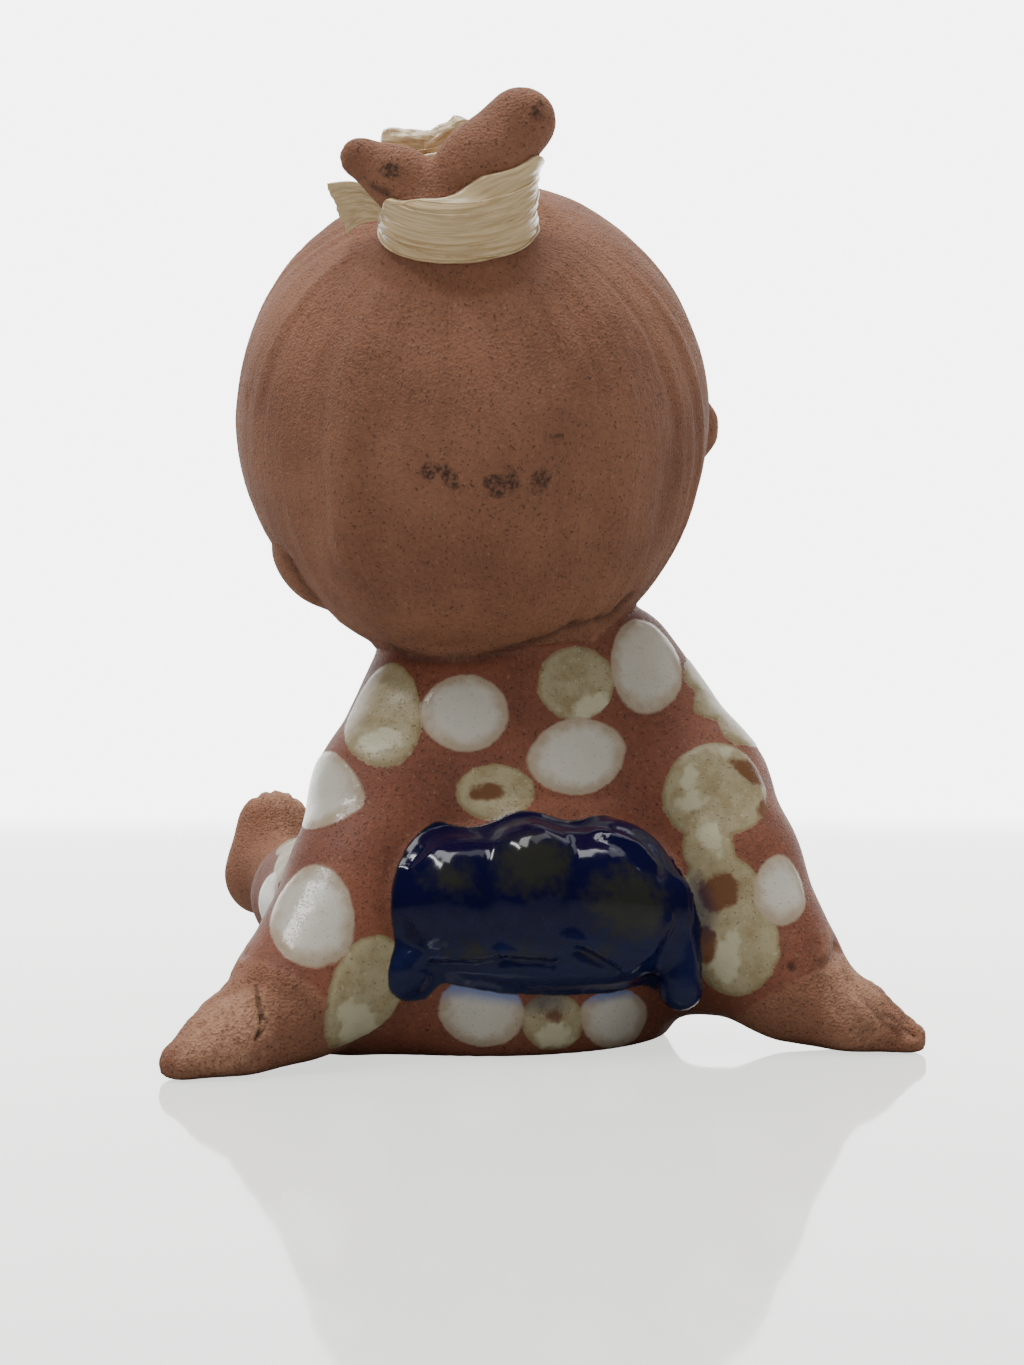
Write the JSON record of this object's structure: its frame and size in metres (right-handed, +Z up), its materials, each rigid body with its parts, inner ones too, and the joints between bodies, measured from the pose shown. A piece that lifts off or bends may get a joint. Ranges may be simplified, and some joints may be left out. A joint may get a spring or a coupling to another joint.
{
  "type": "ceramic girl figurine",
  "caption": "Small fired-clay figurine of a seated girl leaning back on her hands, in a spotted robe with a glazed bow, her topknot tied with wound tape.",
  "frame": {"origin": "middle of the seat's flat underside, on the surface that the figurine stands on", "axes": "+Z up, the girl faces -Y, her left side is +X"},
  "size_m": [0.0638, 0.0591, 0.0785],
  "materials": {
    "clay_girl": "unglazed fired clay with glossy cream, white and cobalt glaze",
    "hair_tie": "glossy translucent split tape"
  },
  "bodies": {
    "root": {"clay_girl": "clay_girl", "hair_tie": "hair_tie"}
  },
  "joints": []
}
